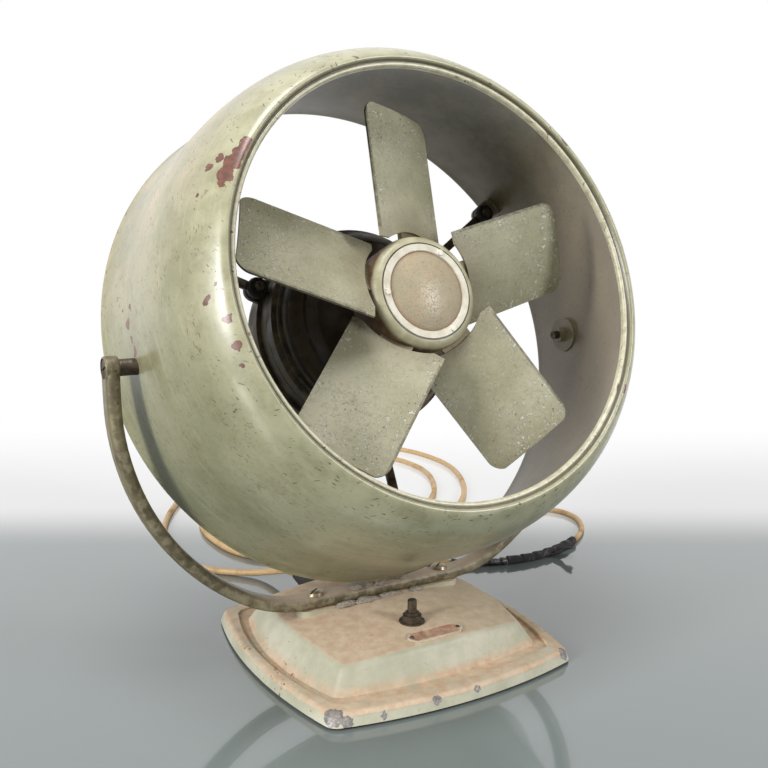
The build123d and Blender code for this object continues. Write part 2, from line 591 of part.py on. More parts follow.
# Two-blade plug, lying flat at the inner end of the loops
plug_at = Vector(*tail_route[-1])
PLUG_LONG, PLUG_WIDE, PLUG_THICK = 34.0, 26.0, 13.6
plug_shape = loft([
    RectangleRounded(9, 8, 3.5), Pos(0, 0, 10) * RectangleRounded(15, 11, 4.5),
    Pos(0, 0, 20) * RectangleRounded(PLUG_WIDE, PLUG_THICK, 5), Pos(0, 0, PLUG_LONG) * RectangleRounded(25, 13.4, 5),
])
plug_shape -= rod(SUPPLY_D / 2, -1, 0.01)
blades_shape = [Pos(s * 6.35, 0, 41) * Box(1.5, 6.3, 18) for s in (-1, 1)]
for prong in blades_shape:
    plug_shape -= prong
plug_frame = Plane(origin=plug_at, x_dir=(loop_heading.Y, -loop_heading.X, 0), z_dir=loop_heading)
plug_body = plug_frame * plug_shape
plug_pins = [plug_frame * prong for prong in blades_shape]

for node, shape in {
    "base_casting": casting, "bottom_cover": cover, "cover_screws": cover_screws,
    "yoke": yoke, "yoke_screws": yoke_screws, "yoke_nuts": yoke_nuts,
    "name_plate": plate, "plate_pins": pins,
    "switch_body": AT_SWITCH * switch_body, "switch_bush": AT_SWITCH * switch_bush,
    "switch_washer": AT_SWITCH * switch_washer, "switch_nut": AT_SWITCH * switch_nut,
    "switch_shaft": AT_SWITCH * switch_shaft,
    "cord_glands": glands, "supply_lead": supply_lead, "supply_loops": loops, "supply_tail": supply_tail,
    "plug_body": plug_body, "plug_pins": plug_pins, "motor_lead": motor_lead,
}.items():
    save(shape, node)

for node, shape in {
    "drum": drum, "pivot_spacers": spacers, "pivot_saddles": saddles, "pivot_bolts": bolts, "pivot_nuts": nuts,
    "motor_front_shell": motor_front, "motor_rear_shell": motor_rear, "stator_core": stator,
    "motor_gland": motor_gland,
    "stator_winding": winding, "front_bush": front_bush, "rear_bush": rear_bush,
    "rotor": rotor, "motor_shaft": shaft, "hub_spider": spider, "hub_cup": cup, "hub_ring": ring, "hub_dome": dome,
    "hub_screws": ring_screws, "set_screw": set_screw,
    "struts": around(strut(), STRUT_ANGLES), "strut_brackets": around(bracket(), STRUT_ANGLES),
    "rubber_mounts": around(knob(LINK_IN), STRUT_ANGLES) + around(rubber_back, STRUT_ANGLES)
    + around(knob(LINK_OUT), STRUT_ANGLES),
    "strut_bolts": around(stud(LINK_IN, -36), STRUT_ANGLES) + around(stud(LINK_OUT, -33.4), STRUT_ANGLES),
}.items():
    save_head(shape, node)

for k, angle in enumerate(blade_angles):
    save_head(Rot(0, 0, angle) * blade(), f"blade_{k + 1}")
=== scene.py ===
import bmesh
import bpy
import math
from mathutils import Matrix, Vector, noise


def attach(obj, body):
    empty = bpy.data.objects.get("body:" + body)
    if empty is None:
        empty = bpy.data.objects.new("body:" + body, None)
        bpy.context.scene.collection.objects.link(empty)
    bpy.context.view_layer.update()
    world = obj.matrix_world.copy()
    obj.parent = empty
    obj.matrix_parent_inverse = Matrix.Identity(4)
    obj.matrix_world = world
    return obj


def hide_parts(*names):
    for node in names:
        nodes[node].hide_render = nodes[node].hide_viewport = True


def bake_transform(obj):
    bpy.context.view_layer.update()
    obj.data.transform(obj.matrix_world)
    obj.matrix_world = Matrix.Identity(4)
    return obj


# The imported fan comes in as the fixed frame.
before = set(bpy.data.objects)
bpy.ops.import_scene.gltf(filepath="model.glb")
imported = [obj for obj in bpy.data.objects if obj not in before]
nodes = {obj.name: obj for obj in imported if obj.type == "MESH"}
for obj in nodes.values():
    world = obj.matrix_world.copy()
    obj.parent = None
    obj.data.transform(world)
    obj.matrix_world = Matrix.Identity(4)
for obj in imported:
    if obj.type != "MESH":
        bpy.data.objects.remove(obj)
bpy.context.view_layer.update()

# Camera: to the fan's left front and a little above the pivots, as the photograph was taken.
lens = bpy.data.cameras.new("camera")
lens.lens, lens.sensor_width, lens.shift_y = 44.45, 36.0, 0.0293
camera = bpy.data.objects.new("camera", lens)
camera.location = (-0.3258, -0.5595, 0.2999)
camera.rotation_euler = (math.radians(78.99), 0, math.radians(-30.02))
bpy.context.scene.collection.objects.link(camera)
bpy.context.scene.camera = camera


# Supply cord: tan rubber flex, stiff and grimy with age. It leaves the back of the base through its bush
# and lies on the table in loose uneven loops, each inside the last, with its plug at the inner end.
SUPPLY_THICK = 0.0058
FLAT_BEND, SHARP_BEND, QUARTER_TURNS = (0.300, 0.014), (0.100, 0.006), 9


def laid_cord(name, knots, thick):
    """A flexible cord on one smooth line through its knots."""
    curve = bpy.data.curves.new(name, "CURVE")
    curve.dimensions, curve.use_fill_caps = "3D", True
    line = curve.splines.new("NURBS")
    line.points.add(len(knots) - 1)
    for point, knot in zip(line.points, knots):
        point.co = (*knot, 1)
    line.order_u, line.use_endpoint_u, line.resolution_u = 3, True, 8
    curve.bevel_depth, curve.bevel_resolution = thick / 2, 4
    cord = bpy.data.objects.new(name, curve)
    bpy.context.scene.collection.objects.link(cord)
    return cord


def bend_knots(here, heading, radius, turn, parts):
    """The knots of a bend to the right, and where and which way the cord leaves it."""
    right = Vector((heading.y, -heading.x, 0))
    middle = here + right * radius
    reach = radius / math.cos(turn / parts / 2)
    knots = []
    for part in range(parts):
        angle = turn * (part + 0.5) / parts
        knots.append(middle + (heading * math.sin(angle) - right * math.cos(angle)) * reach)
    end = middle + (heading * math.sin(turn) - right * math.cos(turn)) * radius
    return knots, end, heading * math.cos(turn) + right * math.sin(turn)


supply_knots = [
    (-0.020, 0.112, 0.017), (-0.020, 0.127, 0.0162), (-0.023, 0.145, 0.010), (-0.033, 0.163, 0.0044),
    (-0.050, 0.178, 0.0029), (-0.066, 0.194, 0.0029), (-0.075, 0.213, 0.0029), (-0.075, 0.232, 0.0029),
]
here, heading = Vector((-0.075, 0.240, 0.0029)), Vector((0, 1, 0))
for quarter in range(QUARTER_TURNS):
    first, less = SHARP_BEND if quarter % 2 else FLAT_BEND
    knots, here, heading = bend_knots(here, heading, first - less * quarter, math.pi / 2, 3)
    supply_knots += knots
knots, here, heading = bend_knots(here, heading, 0.030, math.radians(135), 4)
supply_knots += knots
loop_end = here + heading * 0.016
for ahead, rise in ((0, 0), (0.011, 0), (0.030, 0.0041), (0.041, 0.0041)):
    supply_knots.append(loop_end + heading * ahead + Vector((0, 0, rise)))
supply_cord = laid_cord("supply_cord", supply_knots, SUPPLY_THICK)


class Level:
    """A value or colour in a finish's node tree. Arithmetic on it adds the Math nodes that do the sum."""

    def __init__(self, tree, socket):
        self.tree, self.socket = tree, socket

    def node(self, kind, settings, sockets, out=0):
        """Add a node, first its settings and then the values or links of its sockets; gives one output."""
        made = self.tree.nodes.new("ShaderNode" + kind)
        for name, value in settings.items():
            setattr(made, name, value)
        for name, value in sockets.items():
            if isinstance(value, Level):
                self.tree.links.new(value.socket, made.inputs[name])
            else:
                made.inputs[name].default_value = value
        return Level(self.tree, made.outputs[out])

    def maths(self, operation, first, second=0.0):
        return self.node("Math", {"operation": operation}, {0: first, 1: second})

    def __add__(self, other):
        return self.maths("ADD", self, other)

    def __radd__(self, other):
        return self.maths("ADD", other, self)

    def __sub__(self, other):
        return self.maths("SUBTRACT", self, other)

    def __rsub__(self, other):
        return self.maths("SUBTRACT", other, self)

    def __mul__(self, other):
        return self.maths("MULTIPLY", self, other)

    def __rmul__(self, other):
        return self.maths("MULTIPLY", other, self)

    def __lt__(self, other):
        return self.maths("LESS_THAN", self, other)

    def __or__(self, other):
        return self.maths("MAXIMUM", self, other)

    def __abs__(self):
        return self.maths("ABSOLUTE", self)

    def fade(self, low, high):
        """0 at low and 1 at high, easing between them."""
        return self.node("MapRange", {"interpolation_type": "SMOOTHSTEP"}, {0: self, 1: low, 2: high})

    def blend(self, first, second):
        """The first colour where this is 0 and the second where it is 1."""
        return self.node("Mix", {"data_type": "RGBA"}, {0: self, 6: first, 7: second}, out=2)

    def axis(self, number):
        """One coordinate of this place."""
        return self.node("SeparateXYZ", {}, {0: self}, out=number)

    def stretched(self, x, y, z):
        """This place with each coordinate multiplied."""
        return self.node("VectorMath", {"operation": "MULTIPLY"}, {0: self, 1: (x, y, z)})

    def off_axis(self):
        """How far this place is from the Z axis."""
        return self.node("VectorMath", {"operation": "LENGTH"}, {0: self.stretched(1, 1, 0)}, out=1)

    def direct_look(self):
        """1 where the camera looks straight, by a shiny surface or through glass, and 0 for other light."""
        camera, glossy, clear = [self.node("LightPath", {}, {}, out=number) for number in (0, 3, 6)]
        return camera | glossy | clear

    def clouds(self, size, detail=4.0, rough=0.55):
        """Cloudy noise with lumps of about a size in metres."""
        return self.node("TexNoise", {}, {"Vector": self, "Scale": 1 / size, "Detail": detail, "Roughness": rough})

    def ragged(self, size, amount):
        """This place pushed about at random, so that what is drawn from it has ragged edges."""
        push = self.node("TexNoise", {}, {"Vector": self, "Scale": 1 / size, "Detail": 3.0}, out=1)
        push = self.node("VectorMath", {"operation": "SUBTRACT"}, {0: push, 1: (0.5, 0.5, 0.5)})
        push = push.stretched(amount, amount, amount)
        return self.node("VectorMath", {"operation": "ADD"}, {0: self, 1: push})

    def near(self, point, size):
        """1 within a size of a point and 0 outside it."""
        return self.node("VectorMath", {"operation": "DISTANCE"}, {0: self, 1: point}, out=1) < size

    def flecks(self, long, wide, share, thick=0.2, sides="3D"):
        """Short marks, long along Y and wide the other ways, in a share of the cells that they could fill."""
        spread = self.stretched(1 / wide, 1 / long, 1 / wide)
        cells = {"voronoi_dimensions": sides}
        apart = spread.node("TexVoronoi", cells, {"Vector": spread, "Scale": 1.0})
        pick = spread.node("TexVoronoi", cells, {"Vector": spread, "Scale": 1.0}, out=1).axis(0)
        return (1 - apart.fade(thick * 0.7, thick)) * (pick < share)


class Finish:
    """One finish: the place on a piece that its patterns are drawn from, and what its shader shows."""

    def __init__(self, name):
        self.material = bpy.data.materials.new(name)
        self.material.use_nodes = True
        self.tree = self.material.node_tree
        self.place = Level(self.tree, self.tree.nodes.new("ShaderNodeTexCoord").outputs["Object"])
        self.facing = Level(self.tree, self.place.socket.node.outputs["Normal"])

    def show(self, sockets, height=None, depth=0.0002):
        """Set or link the shader's sockets, and raise the surface by a height of so many metres."""
        if height is not None:
            sockets = {**sockets, "Normal": self.place.node("Bump", {}, {"Distance": depth, "Height": height})}
        shader = self.tree.nodes["Principled BSDF"]
        for name, value in sockets.items():
            if isinstance(value, Level):
                self.tree.links.new(value.socket, shader.inputs[name])
            else:
                shader.inputs[name].default_value = value

    def coat(self, *pieces):
        """Put the finish on new pieces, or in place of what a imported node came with."""
        for piece in pieces:
            coats = piece.data.materials
            if len(coats):
                for number in range(len(coats)):
                    coats[number] = self.material
            else:
                coats.append(self.material)


def seen(red, green, blue):
    """A colour as it looks on a screen, from 0 to 255, as the light that a shader works in."""
    return tuple((part / 255) ** 2.2 for part in (red, green, blue)) + (1.0,)


flex = Finish("cord_tan")
grime = flex.place.clouds(0.030, 5).fade(0.50, 0.72)
specks = flex.place.clouds(0.0022, 3).fade(0.60, 0.72)
tan = grime.blend(seen(206, 172, 124), seen(164, 126, 82))
tan = (specks * 0.55).blend(tan, seen(92, 70, 50))
flex.show({"Base Color": tan, "Roughness": 0.45 + 0.25 * grime}, flex.place.clouds(0.0012, 2) + specks, 0.00012)
flex.coat(supply_cord)
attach(supply_cord, "base")
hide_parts("supply_lead", "supply_loops", "supply_tail")

moulding = Finish("moulded_brown")
swirl = moulding.place.clouds(0.012, 5, 0.6)
dull = moulding.place.clouds(0.004, 3).fade(0.55, 0.75)
brown = swirl.fade(0.35, 0.7).blend(seen(58, 38, 28), seen(84, 56, 40))
moulding.show({"Base Color": (dull * 0.5).blend(brown, seen(140, 124, 104)), "Roughness": 0.3 + 0.35 * dull},
              moulding.place.clouds(0.0008, 2), 0.00005)
moulding.coat(nodes["plug_body"], nodes["switch_body"])

pin_metal = Finish("pin_brass")
tarnish = pin_metal.place.clouds(0.005, 4).fade(0.45, 0.7)
pin_metal.show({"Base Color": tarnish.blend(seen(214, 180, 112), seen(150, 116, 66)), "Metallic": 1.0,
                "Roughness": 0.28 + 0.3 * tarnish}, pin_metal.place.stretched(1, 1, 8).clouds(0.002, 3), 0.00003)
pin_metal.coat(nodes["plug_pins"])


# Motor lead: the same flex, thinner, that leaves the base's second bush, lies on the table at the right
# and climbs to the motor's rear. It is a tube.
LEAD_THICK = 0.0050
lead_knots = [
    (0.062, 0.112, 0.017), (0.062, 0.125, 0.0155), (0.070, 0.138, 0.009), (0.088, 0.139, 0.0036),
    (0.107, 0.123, 0.0025), (0.126, 0.103, 0.0025), (0.155, 0.085, 0.0025), (0.195, 0.076, 0.0025),
    (0.240, 0.084, 0.0025), (0.283, 0.108, 0.0025), (0.311, 0.142, 0.0025), (0.314, 0.177, 0.0025),
    (0.289, 0.200, 0.0025), (0.248, 0.201, 0.0025), (0.204, 0.187, 0.0025), (0.162, 0.170, 0.0025),
    (0.125, 0.157, 0.0030), (0.097, 0.149, 0.0070), (0.074, 0.143, 0.019), (0.058, 0.138, 0.040),
    (0.047, 0.133, 0.066), (0.038, 0.126, 0.093), (0.032, 0.117, 0.119), (0.027, 0.107, 0.139),
    (0.024, 0.09978, 0.15273), (0.024, 0.08667, 0.15764),
]


def as_mesh(curve_piece, name):
    """A curve's surface, or its bare line, as a mesh piece."""
    mesh = bpy.data.meshes.new_from_object(curve_piece)
    mesh.name = name
    piece = bpy.data.objects.new(name, mesh)
    bpy.context.scene.collection.objects.link(piece)
    bpy.data.objects.remove(curve_piece)
    return piece


lead_line = laid_cord("lead_line", lead_knots, 0)
lead_line.data.use_fill_caps = False
line_piece = as_mesh(lead_line, "lead_line_points")
lead_path = [point.co.copy() for point in line_piece.data.vertices]
bpy.data.objects.remove(line_piece)
motor_cord = as_mesh(laid_cord("lead_tube", lead_knots, LEAD_THICK), "motor_cord")
motor_cord.data.shade_smooth()
flex.coat(motor_cord)
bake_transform(motor_cord)
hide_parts("motor_lead")


# Tape on the lead: a repair wound in overlapping turns, first shiny plastic tape and then older
# cloth tape gone matt, with a loose end that sticks up from the table.
def nearest(spot):
    """Which point of the lead's path is nearest to a spot."""
    return min(range(len(lead_path)), key=lambda i: (lead_path[i] - Vector(spot)).length)


def tape_wrap(name, start, end, radius, turn_long):
    """A tube over part of the lead, stepped where each turn of tape laps the one before."""
    first, last = nearest(start), nearest(end)
    spots, along = [], 0.0
    for here, after in zip(lead_path[first:last], lead_path[first + 1:last + 1]):
        steps = max(1, round((after - here).length / 0.0012))
        for step in range(steps):
            spots.append((here.lerp(after, step / steps), along + (after - here).length * step / steps))
        along += (after - here).length
    curve = bpy.data.curves.new(name, "CURVE")
    curve.dimensions, curve.use_fill_caps, curve.bevel_depth, curve.bevel_resolution = "3D", True, 1.0, 3
    line = curve.splines.new("POLY")
    line.points.add(len(spots) - 1)
    for point, (spot, far) in zip(line.points, spots):
        lap = (far / turn_long) % 1
        lump = noise.noise(spot * 90) * 0.0004
        point.radius = radius + 0.0007 * (1 - lap) + lump
        point.co = (spot.x, spot.y, max(spot.z, point.radius * 0.98), 1)
    wrap = bpy.data.objects.new(name + "_line", curve)
    bpy.context.scene.collection.objects.link(wrap)
    wrap = as_mesh(wrap, name)
    wrap.data.shade_smooth()
    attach(wrap, "base")
    return wrap


shiny_tape = Finish("shiny_tape")
creases = shiny_tape.place.clouds(0.004, 5, 0.65)
shiny_tape.show({"Base Color": creases.fade(0.4, 0.75).blend(seen(24, 24, 26), seen(52, 50, 50)), "Roughness": 0.22},
                creases, 0.0006)
cloth_tape = Finish("cloth_tape")
weave = cloth_tape.place.clouds(0.0009, 2)
lint = cloth_tape.place.clouds(0.006, 5).fade(0.5, 0.7)
cloth_tape.show({"Base Color": (lint * 0.6).blend(seen(44, 42, 44), seen(104, 98, 94)), "Roughness": 0.92},
                weave + cloth_tape.place.clouds(0.003, 4), 0.0006)
shiny_tape.coat(tape_wrap("tape_shiny", (0.126, 0.104, 0.0025), (0.170, 0.081, 0.0025), 0.0030, 0.011))
cloth_tape.coat(tape_wrap("tape_cloth", (0.171, 0.081, 0.0025), (0.262, 0.096, 0.0025), 0.0034, 0.014))

FLAP_LONG, FLAP_WIDE = 0.020, 0.014
flap = bmesh.new()
bmesh.ops.create_grid(flap, x_segments=14, y_segments=8, size=0.5,
                      matrix=Matrix.Diagonal((FLAP_LONG, FLAP_WIDE, 1, 1)))
for corner in flap.verts:
    lift = 0.0022 + 0.010 * (corner.co.x / FLAP_LONG + 0.5) ** 1.6
    ripple = noise.noise(corner.co * 160) * 0.003
    ragged_end = noise.noise(Vector((corner.co.y * 300, 3, 1))) * 0.0025 * (corner.co.x > 0.009)
    corner.co = Vector((corner.co.x + ragged_end, corner.co.y, lift + ripple))
bmesh.ops.solidify(flap, geom=flap.faces[:], thickness=0.0005)
bmesh.ops.transform(flap, matrix=Matrix.Translation((0.226, 0.072, 0.001)) @ Matrix.Rotation(-0.9, 4, "Z"),
                    verts=flap.verts)


def finished(shape, name, body):
    """Turn a shape into a smooth piece that rides on a body."""
    bmesh.ops.recalc_face_normals(shape, faces=shape.faces)
    mesh = bpy.data.meshes.new(name)
    shape.to_mesh(mesh)
    shape.free()
    mesh.shade_smooth()
    piece = bpy.data.objects.new(name, mesh)
    bpy.context.scene.collection.objects.link(piece)
    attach(piece, body)
    return piece


cloth_tape.coat(finished(flap, "tape_flap", "base"))


# Table and room: a plain pale grey table that gives a soft reflection and pales to white behind the
# fan, under a big soft lamp at the left front, a weaker one at the right, one above, and a white room.
table = bmesh.new()
bmesh.ops.create_grid(table, x_segments=1, y_segments=1, size=30)
table_mesh = bpy.data.meshes.new("table")
table.to_mesh(table_mesh)
table.free()
table_piece = bpy.data.objects.new("table", table_mesh)
bpy.context.scene.collection.objects.link(table_piece)
table_top = Finish("table_top")
behind = table_top.place.node("VectorMath", {"operation": "DOT_PRODUCT"},
                              {0: table_top.place, 1: (0.5, 0.866, 0)}, out=1)
table_top.show({"Base Color": behind.fade(0.20, 0.34).blend(seen(122, 131, 130), seen(238, 239, 238)),
                "Roughness": 0.12, "Coat Weight": 0.8, "Coat Roughness": 0.02})
white = table_top.place.node("Emission", {}, {"Color": (1, 1, 1, 1), "Strength": 1.0})
far_white = behind.fade(0.30, 0.75) * table_top.place.direct_look()
out = table_top.tree.nodes["Material Output"]
shader = Level(table_top.tree, table_top.tree.nodes["Principled BSDF"].outputs[0])
table_top.tree.links.new(shader.node("MixShader", {}, {0: far_white, 1: shader, 2: white}).socket, out.inputs[0])
table_top.coat(table_piece)

for name, where, wide, tall, power in (("lamp_left", (-1.80, -0.45, 0.85), 0.40, 1.3, 29),
                                       ("lamp_right", (1.00, -1.50, 0.95), 0.35, 1.0, 16),
                                       ("lamp_above", (-0.3, -0.3, 2.2), 1.0, 0.9, 25)):
    lamp = bpy.data.lights.new(name, "AREA")
    lamp.shape, lamp.size, lamp.size_y, lamp.energy = "ELLIPSE", wide, tall, power
    holder = bpy.data.objects.new(name, lamp)
    holder.location = where
    holder.rotation_euler = (Vector((0, 0, 0.2)) - Vector(where)).to_track_quat("-Z", "Y").to_euler()
    bpy.context.scene.collection.objects.link(holder)

room = bpy.data.worlds.new("room")
room.use_nodes = True
bpy.context.scene.world = room
backing = Level(room.node_tree, room.node_tree.nodes["Background"].outputs[0])
strength = 0.18 + 0.82 * backing.direct_look()
room.node_tree.nodes["Background"].inputs["Color"].default_value = (1, 1, 1, 1)
room.node_tree.links.new(strength.socket, room.node_tree.nodes["Background"].inputs["Strength"])
bpy.context.scene.view_settings.view_transform = "Standard"


# Base: an iron casting with a rounded rim, a sunk valley and a crowned plateau, sprayed pale green.
# Pinkish dust has settled on what faces up, and the rim is knocked through to bare metal at its corner.
base_paint = Finish("base_paint")
spot = base_paint.place
torn = spot.ragged(0.004, 0.006)
height = spot.axis(2)
upward = base_paint.facing.axis(2)
patch = spot.clouds(0.035, 6, 0.6)
green = patch.fade(0.35, 0.68).blend(seen(190, 189, 164), seen(216, 212, 190))
green = (spot.clouds(0.010, 5).fade(0.55, 0.75) * 0.4).blend(green, seen(184, 184, 160))
settled = upward.fade(0.80, 0.99)
plateau_top = height.fade(0.0215, 0.0245) * settled
valley = (1 - height.fade(0.0085, 0.0150)) * height.fade(0.0070, 0.0079)
left_side = 1 - spot.axis(0).fade(-0.055, 0.060)
film = plateau_top * (0.62 + 0.45 * spot.clouds(0.024, 6, 0.65)) * (0.74 + 0.26 * left_side)
soft_dust = film | (valley * spot.clouds(0.016, 5, 0.65).fade(0.22, 0.60))
dust_shade = spot.clouds(0.007, 5).fade(0.3, 0.75).blend(seen(233, 208, 180), seen(214, 178, 146))
coat = soft_dust.blend(green, dust_shade)
grit = spot.clouds(0.0019, 3).fade(0.66, 0.74)
coat = (grit * 0.35 * (0.4 + 0.6 * settled)).blend(coat, seen(122, 98, 76))
rust = spot.ragged(0.006, 0.010).clouds(0.0036, 3).fade(0.70, 0.74) * spot.clouds(0.030, 2).fade(0.50, 0.60)
near_rust = torn.near((-0.098, -0.030, 0.012), 0.017) | torn.near((-0.093, 0.020, 0.011), 0.010)
rust = rust | (near_rust * spot.clouds(0.0032, 3).fade(0.60, 0.66))
coat = (rust * 0.8).blend(coat, seen(126, 76, 50))
bare = torn.near((-0.0900, -0.0905, 0.0075), 0.0062) | torn.near((-0.0835, -0.0960, 0.0050), 0.0042)
bare = bare | torn.near((-0.0240, -0.1045, 0.0075), 0.0030) | torn.near((0.0060, -0.1050, 0.0080), 0.0024)
bare = bare | torn.near((0.0870, -0.0930, 0.0070), 0.0042) | torn.near((-0.0600, -0.1000, 0.0050), 0.0020)
bare = bare * spot.ragged(0.002, 0.003).clouds(0.0030, 4, 0.7).fade(0.36, 0.44)
nicks = torn.flecks(0.006, 0.006, 0.20, 0.16) * (1 - height.fade(0.0095, 0.0105)) * (1 - valley)
bare = bare | (nicks * spot.clouds(0.040, 2).fade(0.45, 0.55))
metal = spot.clouds(0.0030, 4).fade(0.35, 0.7).blend(seen(168, 163, 160), seen(126, 118, 116))
coat = bare.blend(coat, metal)
scuffs = spot.ragged(0.010, 0.012).flecks(0.0016, 0.020, 0.10, 0.10) * (1 - plateau_top)
coat = (scuffs * 0.35).blend(coat, seen(140, 136, 116))
base_paint.show({"Base Color": coat, "Roughness": 0.40 + 0.42 * soft_dust + 0.1 * patch, "Metallic": bare * 0.5},
                spot.clouds(0.0050, 3) * 1.2 + grit * 0.5 + soft_dust * spot.clouds(0.0013, 2) - bare * 1.4, 0.00030)
base_paint.coat(nodes["base_casting"])

dark_steel = Finish("dark_steel")
browned = dark_steel.place.clouds(0.004, 5).fade(0.42, 0.68)
oily = dark_steel.place.clouds(0.0015, 3)
dark_steel.show({"Base Color": browned.blend(seen(92, 84, 72), seen(66, 50, 38)), "Metallic": 0.75 - 0.5 * browned,
                 "Roughness": 0.42 + 0.35 * browned}, oily + browned, 0.00008)
dark_steel.coat(nodes["cover_screws"], nodes["yoke_nuts"], nodes["plate_pins"], nodes["switch_shaft"],
                nodes["switch_nut"], nodes["switch_bush"], nodes["switch_washer"], nodes["pivot_bolts"],
                nodes["pivot_spacers"], nodes["struts"], nodes["strut_bolts"], nodes["motor_shaft"],
                nodes["set_screw"])

# Painted shade: the bottom cover is made near black so that the strip of it seen under the base's rim gives the dark
# line there.
under_plate = Finish("under_plate")
felt = under_plate.place.clouds(0.0016, 3)
under_plate.show({"Base Color": felt.fade(0.3, 0.7).blend(seen(30, 29, 27), seen(54, 51, 46)), "Roughness": 0.85},
                 felt, 0.0003)
under_plate.coat(nodes["bottom_cover"])


# Nameplate: pressed copper with its colour gone pale, a raised rim and nothing on its field. Two pins
# hold it on the plateau. The rim is what lies close inside the outline: two sides, two ends, cut corners.
PLATE_X, PLATE_Y, PLATE_HALF_LONG, PLATE_HALF_WIDE = 0.0015, -0.0615, 0.0210, 0.0060
plate_metal = Finish("plate_copper")
cloudy = plate_metal.place.clouds(0.006, 5, 0.65).fade(0.38, 0.66)
along_plate = abs(plate_metal.place.axis(0) - PLATE_X)
across_plate = abs(plate_metal.place.axis(1) - PLATE_Y)
to_outline = (along_plate - PLATE_HALF_LONG) | (across_plate - PLATE_HALF_WIDE)
to_outline = to_outline | (0.731 * along_plate + 0.682 * across_plate - 0.01638)
copper = cloudy.blend(seen(204, 156, 132), seen(222, 190, 166))
# Painted highlight: the band close inside the outline, over the raised rim, is painted pale cream.
copper = to_outline.fade(-0.0013, -0.0010).blend(copper, seen(238, 227, 208))
plate_metal.show({"Base Color": copper, "Metallic": 0.4 - 0.3 * cloudy, "Roughness": 0.36 + 0.3 * cloudy},
                 plate_metal.place.clouds(0.0011, 3), 0.00004)
plate_metal.coat(nodes["name_plate"])


# Bushes on both cords and on the motor, and the struts' mounts: black rubber, hard and lumpy with age.
rubber = Finish("black_rubber")
perished = rubber.place.clouds(0.003, 5, 0.65)
bloom = rubber.place.clouds(0.009, 4).fade(0.50, 0.70)
rubber.show({"Base Color": (bloom * 0.5).blend(seen(30, 28, 27), seen(84, 78, 70)), "Roughness": 0.72 + 0.2 * bloom},
            perished, 0.0012)
rubber.coat(nodes["cord_glands"], nodes["motor_gland"], nodes["rubber_mounts"])


# Yoke: one steel bar bent to a U, once painted as the drum is and now olive brown, rubbed pale along
# its edges, with two slotted screws into the base.
yoke_paint = Finish("yoke_paint")
spot = yoke_paint.place
mottle = spot.clouds(0.018, 6, 0.62)
olive = mottle.fade(0.36, 0.66).blend(seen(96, 87, 64), seen(128, 117, 90))
streaks = spot.stretched(1, 1, 0.25).clouds(0.0035, 4, 0.6).fade(0.52, 0.68)
olive = (streaks * 0.5).blend(olive, seen(84, 74, 54))
across_bar = abs(spot.axis(1) - 0.0115)
rubbed = across_bar.fade(0.0052, 0.0072) * spot.clouds(0.006, 5).fade(0.42, 0.66)
olive = (rubbed * 0.55).blend(olive, seen(182, 172, 144))
worn = spot.ragged(0.004, 0.006).flecks(0.005, 0.005, 0.16, 0.17)
olive = (worn * 0.75).blend(olive, seen(78, 60, 46))
foot_dust = (1 - spot.axis(2).fade(0.044, 0.060)) * yoke_paint.facing.axis(2).fade(0.3, 0.9)
foot_dust = foot_dust * (0.35 + 0.5 * spot.clouds(0.012, 5))
olive = foot_dust.blend(olive, seen(216, 192, 166))
yoke_paint.show({"Base Color": olive, "Roughness": 0.38 + 0.25 * streaks + 0.25 * foot_dust},
                spot.clouds(0.0022, 4) + rubbed * 0.5 - worn * 1.5, 0.00018)
yoke_paint.coat(nodes["yoke"])
bright_steel = Finish("bright_steel")
spotted = bright_steel.place.clouds(0.0025, 4).fade(0.52, 0.70)
bright_steel.show({"Base Color": (spotted * 0.7).blend(seen(136, 124, 102), seen(92, 72, 52)),
                   "Metallic": 0.8 - 0.5 * spotted, "Roughness": 0.34 + 0.3 * spotted},
                  bright_steel.place.clouds(0.0010, 3), 0.00005)
bright_steel.coat(nodes["yoke_screws"], nodes["hub_spider"])


# Drum: one sheet of steel spun to a barrel with a rolled lip, sprayed sage green over red primer. The
# patterns read its own frame: X to the right, Y up and Z forward along the air stream.
HEAD_CENTRE, HEAD_TURN = (0, 0.018208, 0.231383), (math.radians(90 - 20.56), 0, 0)
SKIN_RADIUS = 0.165


def head_place(finish):
    """Where a point lies in the head's own frame."""
    return finish.place.node("Mapping", {"vector_type": "TEXTURE"},
                             {"Vector": finish.place, "Location": HEAD_CENTRE, "Rotation": HEAD_TURN})


def on_skin(angle, ahead, radius):
    """A spot on the drum's skin, by its angle from the right-hand side and how far ahead it is."""
    return (radius * math.cos(math.radians(angle)), radius * math.sin(math.radians(angle)), ahead)


drum_paint = Finish("drum_paint")
spot = head_place(drum_paint)
ahead = spot.axis(2)
radius = spot.off_axis()
around = spot.maths("ARCTAN2", spot.axis(0), spot.axis(1)) * SKIN_RADIUS
wrapped = spot.node("CombineXYZ", {}, {0: around, 1: ahead, 2: radius})
torn = spot.ragged(0.005, 0.007)
radial = spot.node("VectorMath", {"operation": "NORMALIZE"}, {0: spot.stretched(1, 1, 0)})
turned_normal = drum_paint.facing.node("VectorRotate", {"rotation_type": "EULER_XYZ", "invert": True},
                                       {"Vector": drum_paint.facing, "Rotation": HEAD_TURN})
outward = spot.node("VectorMath", {"operation": "DOT_PRODUCT"}, {0: turned_normal, 1: radial}, out=1)
inside = (1 - outward.fade(-0.15, 0.05)) * (1 - ahead.fade(0.094, 0.0985))

